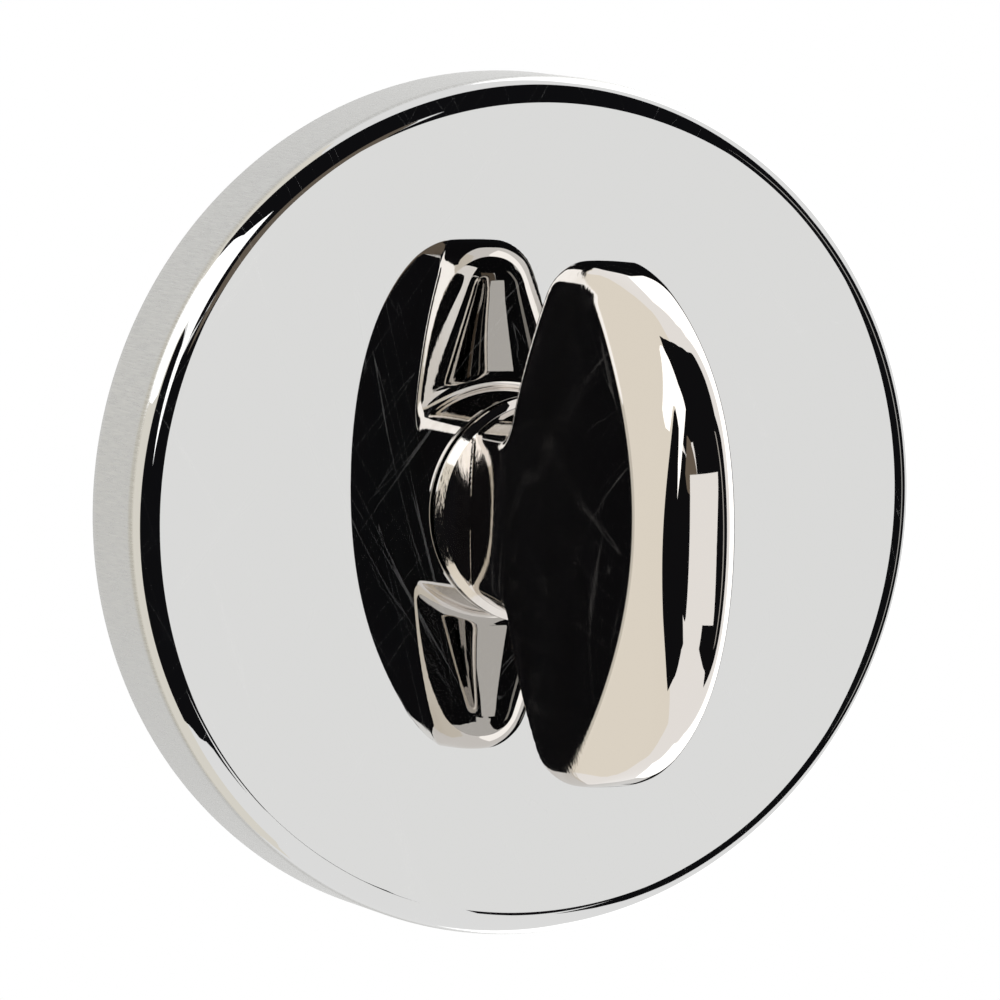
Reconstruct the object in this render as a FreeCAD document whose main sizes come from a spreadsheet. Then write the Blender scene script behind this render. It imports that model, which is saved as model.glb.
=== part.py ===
import FreeCAD, Part
import math
import os
import Sketcher

# Bathroom thumb turn on a round rose, in millimetres, +Z up.
# The origin is the centre of the rose's back face, which lies on the door.
# The front faces -Y, and a height above the rose's front face is measured along -Y.

Vector = FreeCAD.Vector
doc = FreeCAD.newDocument("BathroomThumbTurn")
sheet = doc.addObject("Spreadsheet::Sheet", "Sizes")


class Size:
    """A length or a number that keeps its value and the expression that gives it."""

    def __init__(self, value, text):
        self.value = float(value)
        self.text = text

    def __add__(self, other):
        other = as_size(other)
        return Size(self.value + other.value, f"({self.text} + {other.text})")

    def __radd__(self, other):
        return as_size(other) + self

    def __sub__(self, other):
        other = as_size(other)
        return Size(self.value - other.value, f"({self.text} - {other.text})")

    def __rsub__(self, other):
        return as_size(other) - self

    def __mul__(self, other):
        other = as_size(other)
        return Size(self.value * other.value, f"({self.text} * {other.text})")

    def __rmul__(self, other):
        return as_size(other) * self

    def __truediv__(self, other):
        other = as_size(other)
        return Size(self.value / other.value, f"({self.text} / {other.text})")

    def __neg__(self):
        return Size(-self.value, f"(-{self.text})")


def as_size(item):
    if isinstance(item, Size):
        return item
    return Size(item, f"({float(item)!r})")


rows_used = []


def size(name, value):
    """Write one driving dimension into the sheet, under its own name."""
    row = len(rows_used) + 1
    sheet.set(f"A{row}", name.replace("_", " "))
    sheet.set(f"B{row}", str(value))
    sheet.setAlias(f"B{row}", name)
    rows_used.append(name)
    return Size(value, f"Sizes.{name}")


# Rose cover
rose_radius = size("rose_radius", 26)
rose_thickness = size("rose_thickness", 6.8)
rose_edge_radius = size("rose_edge_radius", 1.35)
cover_wall = size("cover_wall", 1.2)
cover_inner_radius = size("cover_inner_radius", 0.6)

# Base plate under the cover
plate_clearance = size("plate_clearance", 0.15)
plate_front_gap = size("plate_front_gap", 0.2)
plate_floor = size("plate_floor", 2)
plate_rim_width = size("plate_rim_width", 2.4)
plate_hub_wall = size("plate_hub_wall", 1.6)
ring_groove_depth = size("ring_groove_depth", 1.2)
ring_groove_width = size("ring_groove_width", 1.9)
ring_groove_height = size("ring_groove_height", 3.1)
ring_side_clearance = size("ring_side_clearance", 0.005)
rib_width = size("rib_width", 1.4)
rib_drop = size("rib_drop", 1.2)
rib_count = 8

# Fixings: two bolts through the door on the horizontal, four wood screws between them,
# all on one circle this far inside the rose's edge
fixing_edge_distance = size("fixing_edge_distance", 7)
bolt_hole_radius = size("bolt_hole_radius", 2.15)
bolt_head_radius = size("bolt_head_radius", 3.9)
bolt_head_depth = size("bolt_head_depth", 2.5)
bolt_boss_wall = size("bolt_boss_wall", 0.8)
screw_hole_radius = size("screw_hole_radius", 1.9)
screw_head_radius = size("screw_head_radius", 3.1)
countersink_half_angle = size("countersink_half_angle", 45)
screw_boss_wall = size("screw_boss_wall", 0.6)
screw_boss_height = size("screw_boss_height", 4)

# Bearing and stop
shank_radius = size("shank_radius", 5)
running_clearance = size("running_clearance", 0.05)
bush_wall = size("bush_wall", 1.15)
bush_proud = size("bush_proud", 0.2)
bush_flange_inset = size("bush_flange_inset", 0.6)
bush_flange_thickness = size("bush_flange_thickness", 0.8)
end_float = size("end_float", 0.05)
stop_thickness = size("stop_thickness", 0.8)
stop_radius = size("stop_radius", 8.6)
stop_lug_reach = size("stop_lug_reach", 2.3)
stop_lug_angle = size("stop_lug_angle", 17)
stop_lug_direction = size("stop_lug_direction", 135)
stop_side_clearance = size("stop_side_clearance", 0.4)
stop_end_clearance = size("stop_end_clearance", 0.6)
turn_travel = size("turn_travel", 90)
flat_depth = size("flat_depth", 0.7)
flat_clearance = size("flat_clearance", 0.05)
wave_space = size("wave_space", 0.65)
wave_thickness = size("wave_thickness", 0.3)
wave_inset = size("wave_inset", 1)
shim_thickness = size("shim_thickness", 0.4)
clip_thickness = size("clip_thickness", 1)
clip_groove_depth = size("clip_groove_depth", 0.2)
clip_groove_clearance = size("clip_groove_clearance", 0.05)
clip_ring_width = size("clip_ring_width", 2.2)
clip_lug_radius = size("clip_lug_radius", 1.5)
clip_lug_hole_radius = size("clip_lug_hole_radius", 0.7)
clip_gap_width = size("clip_gap_width", 2.4)
clip_lug_drop_distance = size("clip_lug_drop_distance", 0.3)
clip_lug_side_distance = size("clip_lug_side_distance", 1.3)
shank_tail = size("shank_tail", 1.2)
shank_chamfer = size("shank_chamfer", 0.4)

# Spindle and its pin
spindle_width = size("spindle_width", 5)
spindle_clearance = size("spindle_clearance", 0.05)
spindle_reach = size("spindle_reach", 45)
spindle_seat = size("spindle_seat", 11)
spindle_chamfer = size("spindle_chamfer", 0.5)
pin_radius = size("pin_radius", 0.75)
pin_wall = size("pin_wall", 0.3)
pin_slot_width = size("pin_slot_width", 0.3)
pin_inset_depth = size("pin_inset_depth", 0.2)
pin_depth = size("pin_depth", 4.6)

# Thumb turn: heights are above the rose's front face
neck_gap = size("neck_gap", 0.25)
neck_base_radius = size("neck_base_radius", 6.9)
neck_base_edge = size("neck_base_edge", 0.35)
neck_bevel = size("neck_bevel", 0.45)
neck_waist_radius = size("neck_waist_radius", 5.75)
neck_hollow_radius = size("neck_hollow_radius", 38)
neck_flare_radius = size("neck_flare_radius", 2.5)
neck_root_depth = size("neck_root_depth", 1.5)
neck_root_radius = size("neck_root_radius", 5.15)
tab_length = size("tab_length", 31.02)
tab_half_width = size("tab_half_width", 5.25)
tab_end_half_width = size("tab_end_half_width", 2.46)
tab_front_height = size("tab_front_height", 22.55)
tab_end_front_height = size("tab_end_front_height", 11.75)
tab_back_height = size("tab_back_height", 6.3)
tab_end_back_height = size("tab_end_back_height", 7.8)
tab_back_edge = size("tab_back_edge", 0.8)
tab_end_round = size("tab_end_round", 1.5)
tab_end_sharpening = size("tab_end_sharpening", 0.75)
side_fullness = size("side_fullness", 0.154)
flank_lean = size("flank_lean", 0.77)
flank_fullness = size("flank_fullness", 0.3)
crown_fullness = size("crown_fullness", 0.45)
front_fullness = size("front_fullness", 0.62)
width_curve = size("width_curve", 0.312)
front_curve = size("front_curve", 0.224)
front_end_curve = size("front_end_curve", 0.569)

doc.recompute()

# Heights along the rose's axis, worked out once
face = -rose_thickness
fixing_circle_radius = rose_radius - fixing_edge_distance
cover_inside = face + cover_wall
plate_front = cover_inside + plate_front_gap
bush_outer_radius = shank_radius + running_clearance + bush_wall
bush_front = face - bush_proud
bush_flange_radius = stop_radius - bush_flange_inset
wave_radius = stop_radius - wave_inset
wave_back = as_size(0) - shim_thickness
wave_front = wave_back - wave_space
stop_back = wave_front
stop_front = stop_back - stop_thickness
flange_back = stop_front - end_float
flange_front = flange_back - bush_flange_thickness
clip_front = wave_back + shim_thickness
clip_back = clip_front + clip_thickness
shank_end = clip_back + shank_tail
neck_start = face - neck_gap
half_length = tab_length / 2

# How far a cutting shape runs past the metal that it cuts
past = 1


def plane_of(body, role):
    return [item for item in body.Origin.OriginFeatures if item.Role == role][0]


def new_sketch(body, name, role, lift=None):
    """A sketch on one of the body's own origin planes, lifted along the plane's normal."""
    sketch = body.newObject("Sketcher::SketchObject", name)
    sketch.AttachmentSupport = (plane_of(body, role), [""])
    sketch.MapMode = "FlatFace"
    if lift is not None:
        sketch.AttachmentOffset = FreeCAD.Placement(Vector(0, 0, lift.value), FreeCAD.Rotation())
        sketch.setExpression("AttachmentOffset.Base.z", lift.text)
    return sketch


def bind(sketch, constraint, name, item):
    """Add a dimension and tie it to its expression."""
    index = sketch.addConstraint(constraint)
    sketch.renameConstraint(index, name)
    sketch.setExpression(f"Constraints.{name}", item.text)


def place_point(sketch, geometry, position, name, point):
    across, up = as_size(point[0]), as_size(point[1])
    bind(sketch, Sketcher.Constraint("DistanceX", -1, 1, geometry, position, across.value), name + "_across", across)
    bind(sketch, Sketcher.Constraint("DistanceY", -1, 1, geometry, position, up.value), name + "_up", up)


def arc_between(start, end, radius):
    """The short arc from start to end. A positive radius keeps its centre on the left of the way."""
    chord = end - start
    middle = (start + end) / 2
    left = Vector(-chord.y, chord.x, 0).normalize()
    away = math.sqrt(max(radius * radius - chord.Length * chord.Length / 4, 0))
    centre = middle + left * math.copysign(away, radius)
    belly = centre - left * radius
    return Part.Arc(start, belly, end)


def draw_outline(sketch, points, arcs=None):
    """A closed outline. arcs gives the radius of each side that is an arc, by the side's number."""
    arcs = arcs or {}
    corners = [Vector(as_size(x).value, as_size(y).value, 0) for x, y in points]
    count = len(corners)
    ends = []
    for number, start in enumerate(corners):
        end = corners[(number + 1) % count]
        if number in arcs:
            radius = as_size(arcs[number])
            sketch.addGeometry(arc_between(start, end, radius.value), False)
            forward = radius.value > 0
            ends.append((1, 2) if forward else (2, 1))
            size_text = radius if forward else -radius
            bind(sketch, Sketcher.Constraint("Radius", number, abs(radius.value)), f"radius_{number}", size_text)
        else:
            sketch.addGeometry(Part.LineSegment(start, end), False)
            ends.append((1, 2))
    for number in range(count):
        after = (number + 1) % count
        sketch.addConstraint(Sketcher.Constraint("Coincident", number, ends[number][1], after, ends[after][0]))
    for number, point in enumerate(points):
        place_point(sketch, number, ends[number][0], f"point_{number}", point)


def draw_circle(sketch, centre, radius):
    spot = Vector(as_size(centre[0]).value, as_size(centre[1]).value, 0)
    number = sketch.addGeometry(Part.Circle(spot, Vector(0, 0, 1), radius.value), False)
    bind(sketch, Sketcher.Constraint("Radius", number, radius.value), f"radius_{number}", radius)
    place_point(sketch, number, 3, f"centre_{number}", centre)


def new_body(name):
    body = doc.addObject("PartDesign::Body", name)
    body.Label = name
    return body


def turned(body, name, points, arcs=None, kind="PartDesign::Revolution"):
    """A solid or a cut turned about the rose's axis, from an outline of radius and depth."""
    sketch = new_sketch(body, name + "_outline", "XY_Plane")
    draw_outline(sketch, points, arcs)
    doc.recompute()
    feature = body.newObject(kind, name)
    feature.Profile = sketch
    feature.ReferenceAxis = (sketch, ["V_Axis"])
    feature.Angle = 360
    doc.recompute()
    return feature


def raised(body, name, draw, start, length, kind="PartDesign::Pad", back=False):
    """A pad or a pocket along the rose's axis, from the depth start, towards the front or the back."""
    sketch = new_sketch(body, name + "_outline", "XZ_Plane", -start)
    draw(sketch)
    doc.recompute()
    feature = body.newObject(kind, name)
    feature.Profile = sketch
    feature.setExpression("Length", length.text)
    feature.Length = length.value
    # A pad goes along the sketch's normal and a pocket against it, and the normal points to the front
    feature.Reversed = back if kind == "PartDesign::Pad" else not back
    doc.recompute()
    return feature


def patterned(body, name, original, count):
    pattern = body.newObject("PartDesign::PolarPattern", name)
    pattern.Originals = [original]
    pattern.Axis = (plane_of(body, "Y_Axis"), [""])
    pattern.Angle = 360
    pattern.Occurrences = count
    body.Tip = pattern
    doc.recompute()
    return pattern


def edges_where(shape, test):
    """The names of the edges that pass the test."""
    return [f"Edge{number}" for number, edge in enumerate(shape.Edges, 1) if test(edge)]


def ring_edge(radius, depth):
    """A test for a circle of this radius about the rose's axis, at this depth."""

    def test(edge):
        curve = edge.Curve
        if not isinstance(curve, Part.Circle):
            return False
        centred = abs(curve.Center.x) < 1e-4 and abs(curve.Center.z) < 1e-4
        return centred and abs(curve.Radius - radius.value) < 1e-4 and abs(curve.Center.y - depth.value) < 1e-4

    return test


def dressed(body, name, kind, base, test, amount):
    """A fillet or a chamfer on the edges of base that pass the test."""
    feature = body.newObject(kind, name)
    feature.Base = (base, edges_where(base.Shape, test))
    property_name = "Radius" if kind == "PartDesign::Fillet" else "Size"
    setattr(feature, property_name, amount.value)
    feature.setExpression(property_name, amount.text)
    doc.recompute()
    return feature


def make_rose_cover():
    body = new_body("rose_cover")
    hole = bush_outer_radius
    inside = rose_radius - cover_wall
    cup = turned(body, "cup", [
        (hole, face), (hole, cover_inside), (inside, cover_inside),
        (inside, 0), (rose_radius, 0), (rose_radius, face)])
    rounded = dressed(body, "front_edge", "PartDesign::Fillet", cup, ring_edge(rose_radius, face), rose_edge_radius)
    dressed(body, "inner_corner", "PartDesign::Fillet", rounded, ring_edge(inside, cover_inside), cover_inner_radius)
    return body


def make_base_plate():
    body = new_body("base_plate")
    outer = rose_radius - cover_wall - plate_clearance
    rim_inner = outer - plate_rim_width
    groove = outer - ring_groove_depth
    recess = stop_radius + stop_side_clearance
    hub = stop_radius + stop_lug_reach + stop_side_clearance + plate_hub_wall
    floor_front = -plate_floor
    lip_front = plate_front + cover_inner_radius
    turned(body, "plate", [
        (recess, 0), (outer, 0), (outer, lip_front), (outer - cover_inner_radius, plate_front),
        (rim_inner, plate_front), (rim_inner, floor_front), (hub, floor_front), (hub, plate_front),
        (bush_outer_radius, plate_front), (bush_outer_radius, flange_front), (recess, flange_front)])

    bolt_boss = bolt_head_radius + bolt_boss_wall
    boss_height = -plate_front - plate_floor
    boss = raised(body, "bolt_boss", lambda s: draw_circle(s, (fixing_circle_radius, 0), bolt_boss),
                  floor_front, boss_height)
    patterned(body, "bolt_bosses", boss, 2)

    # The screw bosses stand on the diagonals
    diagonal = fixing_circle_radius * math.sqrt(0.5)
    screw_boss = screw_head_radius + screw_boss_wall
    boss = raised(body, "screw_boss", lambda s: draw_circle(s, (diagonal, diagonal), screw_boss),
                  floor_front, screw_boss_height - plate_floor)
    patterned(body, "screw_bosses", boss, 4)

    # The ribs lie between the bosses, at half the angle from a bolt boss to a screw boss
    rib_front = plate_front + rib_drop
    first = math.radians(180 / rib_count)
    away = Vector(math.cos(first), math.sin(first), 0)
    side = Vector(-away.y, away.x, 0)
    reach = (hub - plate_hub_wall / 2, rim_inner + plate_rim_width / 2)

    def draw_rib(sketch):
        corners = [(reach[0], -0.5), (reach[1], -0.5), (reach[1], 0.5), (reach[0], 0.5)]
        draw_outline(sketch, [(along * away.x + rib_width * (part * side.x),
                               along * away.y + rib_width * (part * side.y)) for along, part in corners])

    rib = raised(body, "rib", draw_rib, floor_front, -rib_front - plate_floor)
    patterned(body, "ribs", rib, rib_count)

    hole = raised(body, "bolt_hole", lambda s: draw_circle(s, (fixing_circle_radius, 0), bolt_hole_radius),
                  as_size(0), -plate_front, "PartDesign::Pocket")
    patterned(body, "bolt_holes", hole, 2)
    head = raised(body, "bolt_head_seat", lambda s: draw_circle(s, (fixing_circle_radius, 0), bolt_head_radius),
                  plate_front, bolt_head_depth, "PartDesign::Pocket", back=True)
    patterned(body, "bolt_head_seats", head, 2)
    hole = raised(body, "screw_hole", lambda s: draw_circle(s, (diagonal, diagonal), screw_hole_radius),
                  as_size(0), screw_boss_height, "PartDesign::Pocket")
    patterned(body, "screw_holes", hole, 4)

    # A taper below zero draws the countersink in as it goes deeper
    mouth = raised(body, "countersink", lambda s: draw_circle(s, (diagonal, diagonal), screw_head_radius),
                   -screw_boss_height, screw_head_radius - screw_hole_radius, "PartDesign::Pocket", back=True)
    mouth.TaperAngle = -countersink_half_angle.value
    mouth.setExpression("TaperAngle", (-countersink_half_angle).text)
    patterned(body, "countersinks", mouth, 4)

    # The lug's path is a sector of the rim of the recess, from the lug's place at rest through its travel
    path_half = (turn_travel + stop_lug_angle) / 2 + stop_end_clearance
    path_middle = stop_lug_direction - turn_travel / 2
    slot_outer = stop_radius + stop_lug_reach + stop_side_clearance
    raised(body, "lug_path", lambda s: draw_sector(s, stop_radius, slot_outer, path_half, path_middle),
           as_size(0), -stop_front + stop_side_clearance, "PartDesign::Pocket")

    # The ring groove comes last, because the bolt bosses reach the rim. The same cut turns off any boss
    # that stands out past the rim.
    groove_front = -(ring_groove_height + ring_groove_width / 2)
    groove_back = -(ring_groove_height - ring_groove_width / 2)
    past_bosses = fixing_circle_radius + bolt_boss + rose_radius
    turned(body, "ring_groove", [
        (groove, groove_back), (outer, groove_back), (outer, past), (past_bosses, past),
        (past_bosses, plate_front - past), (outer, plate_front - past), (outer, groove_front),
        (groove, groove_front)], kind="PartDesign::Groove")
    return body


def draw_sector(sketch, inner, outer, half_angle, middle):
    """A sector of a ring, as wide as twice half_angle each way from the middle direction, in degrees."""
    low = middle - half_angle
    high = middle + half_angle

    def spot(radius, angle):
        turn = math.radians(angle.value)
        return (Size(radius.value * math.cos(turn), f"({radius.text} * cos({angle.text} * 1 deg))"),
                Size(radius.value * math.sin(turn), f"({radius.text} * sin({angle.text} * 1 deg))"))

    draw_outline(sketch, [spot(inner, low), spot(outer, low), spot(outer, high), spot(inner, high)],
                 {1: outer, 3: -inner})


def make_cover_o_ring():
    body = new_body("cover_o_ring")
    inside = rose_radius - cover_wall
    groove = inside - plate_clearance - ring_groove_depth
    wire = (inside - groove) / 2 - ring_side_clearance
    sketch = new_sketch(body, "ring_section", "XY_Plane")
    draw_circle(sketch, ((inside + groove) / 2, -ring_groove_height), wire)
    doc.recompute()
    ring = body.newObject("PartDesign::Revolution", "ring")
    ring.Profile = sketch
    ring.ReferenceAxis = (sketch, ["V_Axis"])
    ring.Angle = 360
    return body


def make_neck_bush():
    body = new_body("neck_bush")
    bore = shank_radius + running_clearance
    turned(body, "bush", [
        (bore, bush_front), (bush_outer_radius, bush_front), (bush_outer_radius, flange_front),
        (bush_flange_radius, flange_front), (bush_flange_radius, flange_back), (bore, flange_back)])
    return body


def make_stop_washer():
    body = new_body("stop_washer")
    raised(body, "disc", lambda s: draw_circle(s, (0, 0), stop_radius), stop_back, stop_thickness)
    lug_outer = stop_radius + stop_lug_reach
    lug_inner = shank_radius + past
    raised(body, "lug", lambda s: draw_sector(s, lug_inner, lug_outer, stop_lug_angle / 2, stop_lug_direction),
           stop_back, stop_thickness)
    across = shank_radius - flat_depth + flat_clearance
    bore = shank_radius + flat_clearance
    up = Size(math.sqrt(bore.value ** 2 - across.value ** 2), f"sqrt({bore.text}^2 - {across.text}^2)")
    draw_hole = lambda s: draw_outline(s, [(across, -up), (across, up), (-across, up), (-across, -up)],
                                       {1: bore, 3: bore})
    raised(body, "keyed_hole", draw_hole, stop_back, stop_thickness, "PartDesign::Pocket")
    return body


def make_wave_washer():
    """A thin ring whose depth follows three waves round the axis."""
    metal, space = wave_thickness.value, wave_space.value
    swing = (space - metal) / 2
    middle = (wave_front.value + wave_back.value) / 2 - metal / 2
    waves, points_per_wave = 3, 12

    def wavy_edge(radius):
        count = waves * points_per_wave
        angles = [2 * math.pi * number / count for number in range(count)]
        points = [Vector(radius * math.cos(a), middle + swing * math.cos(waves * a), radius * math.sin(a))
                  for a in angles]
        curve = Part.BSplineCurve()
        curve.interpolate(Points=points, PeriodicFlag=True)
        return curve.toShape()

    inner = shank_radius.value + 2 * running_clearance.value
    sheet_face = Part.makeRuledSurface(wavy_edge(inner), wavy_edge(wave_radius.value))
    washer = doc.addObject("Part::Feature", "wave_washer")
    washer.Label = "wave_washer"
    washer.Shape = sheet_face.extrude(Vector(0, metal, 0))
    return washer


def make_shim_washer():
    body = new_body("shim_washer")
    bore = shank_radius + running_clearance
    turned(body, "shim", [(bore, wave_back), (wave_radius, wave_back), (wave_radius, clip_front), (bore, clip_front)])
    return body


def cylinder(name, radius, start, length, across=0, up=0):
    """A cylinder along the rose's axis, from the depth start towards the back."""
    across, up = as_size(across), as_size(up)
    item = doc.addObject("Part::Cylinder", name)
    item.setExpression("Radius", radius.text)
    item.setExpression("Height", length.text)
    item.Placement = FreeCAD.Placement(Vector(across.value, start.value, up.value),
                                       FreeCAD.Rotation(Vector(1, 0, 0), -90))
    item.setExpression("Placement.Base.x", across.text)
    item.setExpression("Placement.Base.y", start.text)
    item.setExpression("Placement.Base.z", up.text)
    return item


def block(name, low, high):
    """A box between two corners."""
    item = doc.addObject("Part::Box", name)
    for property_name, axis, start, end in zip(("Length", "Width", "Height"), "xyz", low, high):
        start, end = as_size(start), as_size(end)
        item.setExpression(property_name, (end - start).text)
        item.setExpression(f"Placement.Base.{axis}", start.text)
    return item


def join(name, pieces):
    item = doc.addObject("Part::MultiFuse", name)
    item.Shapes = pieces
    return item


def cut(name, base, tool):
    item = doc.addObject("Part::Cut", name)
    item.Base = base
    item.Tool = tool
    return item


def make_circlip():
    inner = shank_radius - clip_groove_depth
    outer = inner + clip_ring_width
    lug_up = -(inner + clip_lug_radius + clip_lug_drop_distance)
    lug_across = clip_gap_width / 2 + clip_lug_side_distance
    ring = cylinder("clip_ring", outer, clip_front, clip_thickness)
    lugs = [cylinder(f"clip_lug_{side}", clip_lug_radius, clip_front, clip_thickness, way * lug_across, lug_up)
            for side, way in (("right", 1), ("left", -1))]
    holes = [cylinder(f"clip_hole_{side}", clip_lug_hole_radius, clip_front, clip_thickness,
                      way * lug_across, lug_up) for side, way in (("right", 1), ("left", -1))]
    bore = cylinder("clip_bore", inner, clip_front, clip_thickness)
    gap = block("clip_opening", (-clip_gap_width / 2, clip_front, -(outer + clip_lug_radius * 2)),
                (clip_gap_width / 2, clip_back, 0))
    clip = cut("circlip", join("clip_metal", [ring] + lugs), join("clip_spaces", [bore, gap] + holes))
    clip.Label = "circlip"
    return clip


def make_spindle():
    half = spindle_width / 2
    bar = block("spindle_bar", (-half, -spindle_seat, -half), (half, spindle_reach, half))
    doc.recompute()
    pointed = doc.addObject("Part::Chamfer", "spindle_ends")
    pointed.Base = bar
    ends = [number for number, edge in enumerate(bar.Shape.Edges, 1)
            if abs(edge.CenterOfMass.y - spindle_reach.value) < 1e-6]
    pointed.Edges = [(number, spindle_chamfer.value, spindle_chamfer.value) for number in ends]
    hole = pin_rod("spindle_pin_hole", pin_radius, spindle_width)
    spindle = cut("spindle", pointed, hole)
    spindle.Label = "spindle"
    return spindle


def pin_rod(name, radius, length):
    """A rod across the shank, where the spring pin goes."""
    rod = doc.addObject("Part::Cylinder", name)
    rod.setExpression("Radius", radius.text)
    rod.setExpression("Height", length.text)
    rod.Placement = FreeCAD.Placement(Vector(-length.value / 2, -pin_depth.value, 0),
                                      FreeCAD.Rotation(Vector(0, 1, 0), 90))
    rod.setExpression("Placement.Base.x", f"-({length.text}) / 2")
    rod.setExpression("Placement.Base.y", f"-({pin_depth.text})")
    return rod


def make_spindle_pin():
    length = (shank_radius - pin_inset_depth) * 2
    outside = pin_rod("pin_outside", pin_radius, length)
    inside = pin_rod("pin_inside", pin_radius - pin_wall, length)
    slot = block("pin_slot_space", (-length / 2, -pin_depth - pin_slot_width / 2, 0),
                 (length / 2, -pin_depth + pin_slot_width / 2, pin_radius * 2))
    pin = cut("spindle_pin", outside, join("pin_spaces", [inside, slot]))
    pin.Label = "spindle_pin"
    return pin


def draw_dome(sketch, poles, name):
    """One smooth curve with these poles, each tied to its own place."""
    corners = [Vector(as_size(x).value, as_size(y).value, 0) for x, y in poles]
    curve = Part.BezierCurve()
    curve.setPoles(corners)
    number = sketch.addGeometry(curve.toBSpline(), False)
    first_pole = len(sketch.Geometry)
    sketch.exposeInternalGeometry(number)
    for index, pole in enumerate(poles):
        place_point(sketch, first_pole + index, 3, f"{name}_{index}", pole)
    return number


def tab_section(body, name, away, inset, sharpened=0):
    """The tab's section at this distance along Z: flat back, round corners, domed front, all drawn in by inset."""
    square = away * away / (half_length * half_length)
    narrowing = square * (1 + width_curve) - square * square * width_curve
    falling = (square * (1 - front_curve - front_end_curve) + square * square * front_curve
               + square * square * square * front_end_curve)
    half = tab_half_width - (tab_half_width - tab_end_half_width) * narrowing - inset
    front = face - tab_front_height + (tab_front_height - tab_end_front_height) * falling + inset
    back = face - tab_back_height - (tab_end_back_height - tab_back_height) * square - inset
    corner = tab_back_edge * (1 - sharpened)
    shoulder = back - corner
    rise = shoulder - front
    side_poles = [(half, shoulder), (half, shoulder - rise * side_fullness),
                  (half * flank_lean, shoulder - rise * flank_fullness)]
    front_poles = [(half * crown_fullness, front), (half * front_fullness, front), (0, front)]
    poles = side_poles + front_poles
    sketch = new_sketch(body, name, "XY_Plane", away)

    bevel = corner.value * math.sqrt(0.5)
    flat_end = Vector((half - corner).value, back.value, 0)
    side_end = Vector(half.value, shoulder.value, 0)
    belly = Vector(flat_end.x + bevel, side_end.y + bevel, 0)
    mirrored = [Vector(-spot.x, spot.y, 0) for spot in (flat_end, belly, side_end)]
    sketch.addGeometry(Part.LineSegment(mirrored[0], flat_end), False)
    sketch.addGeometry(Part.Arc(side_end, belly, flat_end), False)
    sketch.addGeometry(Part.Arc(mirrored[0], mirrored[1], mirrored[2]), False)
    for arc in (1, 2):
        bind(sketch, Sketcher.Constraint("Radius", arc, corner.value), f"corner_{arc}", corner)
    place_point(sketch, 1, 2, "right_flat_end", (half - corner, back))
    place_point(sketch, 1, 1, "right_side_end", (half, shoulder))
    place_point(sketch, 2, 1, "left_flat_end", (corner - half, back))
    place_point(sketch, 2, 2, "left_side_end", (-half, shoulder))
    sketch.addConstraint(Sketcher.Constraint("Coincident", 0, 1, 2, 1))
    sketch.addConstraint(Sketcher.Constraint("Coincident", 0, 2, 1, 2))
    draw_dome(sketch, poles, "right_dome")
    draw_dome(sketch, [(-as_size(x), y) for x, y in reversed(poles)], "left_dome")
    return sketch


def lofted(body, name, sections):
    doc.recompute()
    loft = body.newObject("PartDesign::AdditiveLoft", name)
    loft.Profile = sections[0]
    loft.Sections = sections[1:]
    doc.recompute()
    return loft


def make_tab():
    """A loft for the tab's length, and one over each rounded end."""
    body = new_body("tab")
    straight = half_length - tab_end_round
    shares = [-1, -0.87, -0.65, -0.35, 0, 0.35, 0.65, 0.87, 1]
    main = [tab_section(body, f"tab_section_{number}", straight * share, as_size(0))
            for number, share in enumerate(shares)]
    lofted(body, "tab_length_loft", main)
    # Round the end as a quarter circle, with the back corners closing up on the way
    for side, way, first in (("lower", -1, main[0]), ("upper", 1, main[-1])):
        sections = [first]
        for angle in (30, 55, 75, 90):
            turn = math.radians(angle)
            away = (half_length - tab_end_round * (1 - math.sin(turn))) * way
            drawn_in = 1 - math.cos(turn)
            sections.append(tab_section(body, f"{side}_end_{angle}", away, tab_end_round * drawn_in,
                                        tab_end_sharpening * drawn_in))
        lofted(body, f"{side}_end_loft", sections)
    return body


def make_neck():
    """The neck and shank in one turning, with the hollow waist between base and tab."""
    body = new_body("neck")
    base_edge = neck_start - neck_base_edge
    bevel_top = base_edge - neck_bevel
    bevel_radius = neck_base_radius - neck_bevel
    flare_start = face - tab_back_height + neck_flare_radius
    root = face - tab_back_height - neck_root_depth
    points = [
        (0, shank_end), (shank_radius - shank_chamfer, shank_end), (shank_radius, shank_end - shank_chamfer),
        (shank_radius, neck_start), (neck_base_radius - neck_base_edge, neck_start),
        (neck_base_radius, base_edge), (bevel_radius, bevel_top), (neck_waist_radius, flare_start),
        (neck_root_radius, root), (0, root)]
    turned(body, "neck_turning", points, {4: -neck_base_edge, 6: neck_hollow_radius})
    return body


def make_flare():
    """The hollow fillet from the neck to the tab's back, kept within the tab's outline."""
    body = new_body("flare")
    flare_start = face - tab_back_height + neck_flare_radius
    top = face - tab_back_height
    root = face - tab_back_height - neck_root_depth
    wide = neck_waist_radius + neck_flare_radius
    turned(body, "flare_turning", [
        (0, flare_start), (neck_waist_radius, flare_start), (wide, top), (wide, root), (0, root)],
        {1: neck_flare_radius})
    return body


def make_tab_shadow():
    """The tab's outline as seen from the front, carried back over the flare."""
    body = new_body("tab_shadow")
    reach = neck_waist_radius + neck_flare_radius
    square = reach * reach / (half_length * half_length)
    sag = (tab_half_width - tab_end_half_width) * (square * (1 + width_curve) - square * square * width_curve)
    side = tab_half_width - sag
    bow = (reach * reach + sag * sag) / (2 * sag)
    start = face - tab_back_height + neck_flare_radius + past
    length = neck_flare_radius + neck_root_depth + past * 2
    raised(body, "shadow", lambda s: draw_outline(s, [(side, -reach), (side, reach), (-side, reach), (-side, -reach)],
                                                  {0: bow, 2: bow}), start, length)
    return body


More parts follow.
